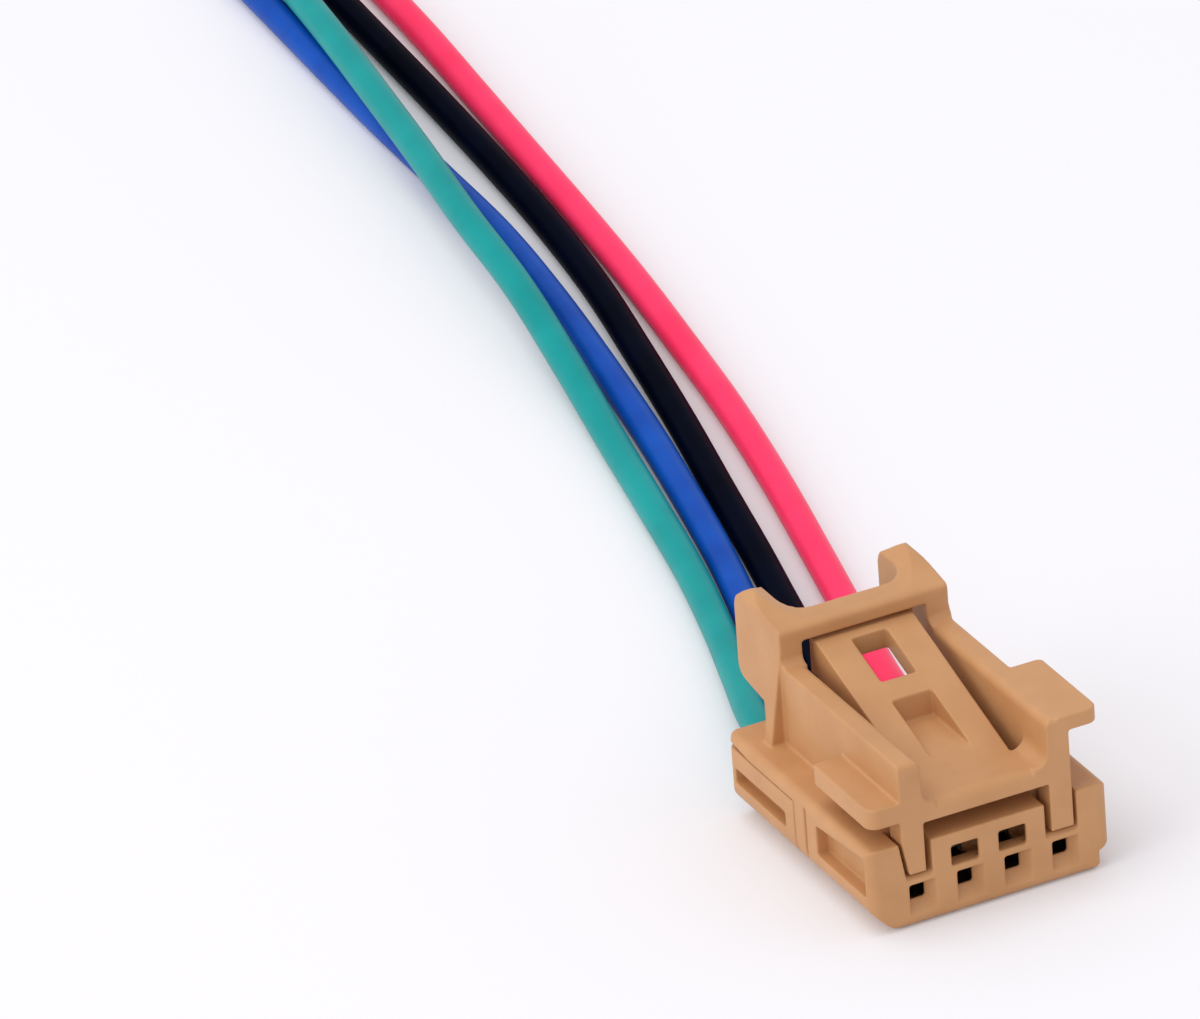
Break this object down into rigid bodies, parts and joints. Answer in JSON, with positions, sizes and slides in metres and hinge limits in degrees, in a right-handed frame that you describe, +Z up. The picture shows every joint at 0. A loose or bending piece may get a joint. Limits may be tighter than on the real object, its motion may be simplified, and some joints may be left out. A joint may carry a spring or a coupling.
{
  "type": "connector pigtail",
  "caption": "Tan cable socket with a moulded latch frame, a clip-on rear retainer and crimped contacts on short green, blue, black and red leads with stripped ends.",
  "frame": {"origin": "under the middle of the moulding, on the surface that it stands on", "axes": "+X across the contacts, -Y out of the mating face, +Y the way the leads leave, +Z up through the latch frame"},
  "size_m": [0.0279, 0.1323, 0.011],
  "materials": {
    "housing_plastic": "satin moulded",
    "retainer_plastic": "satin moulded",
    "contact_metal": "tin plated",
    "insulation_green": "smooth extruded",
    "insulation_blue": "smooth extruded",
    "insulation_black": "smooth extruded",
    "insulation_red": "smooth extruded",
    "conductor": "bare stranded copper"
  },
  "bodies": {
    "root": {"housing": "housing_plastic", "retainer": "retainer_plastic", "terminal_1": "contact_metal", "terminal_2": "contact_metal", "terminal_3": "contact_metal", "terminal_4": "contact_metal", "lead_green": "insulation_green", "lead_blue": "insulation_blue", "lead_black": "insulation_black", "lead_red": "insulation_red", "core_green": "conductor", "core_blue": "conductor", "core_black": "conductor", "core_red": "conductor"}
  },
  "joints": []
}
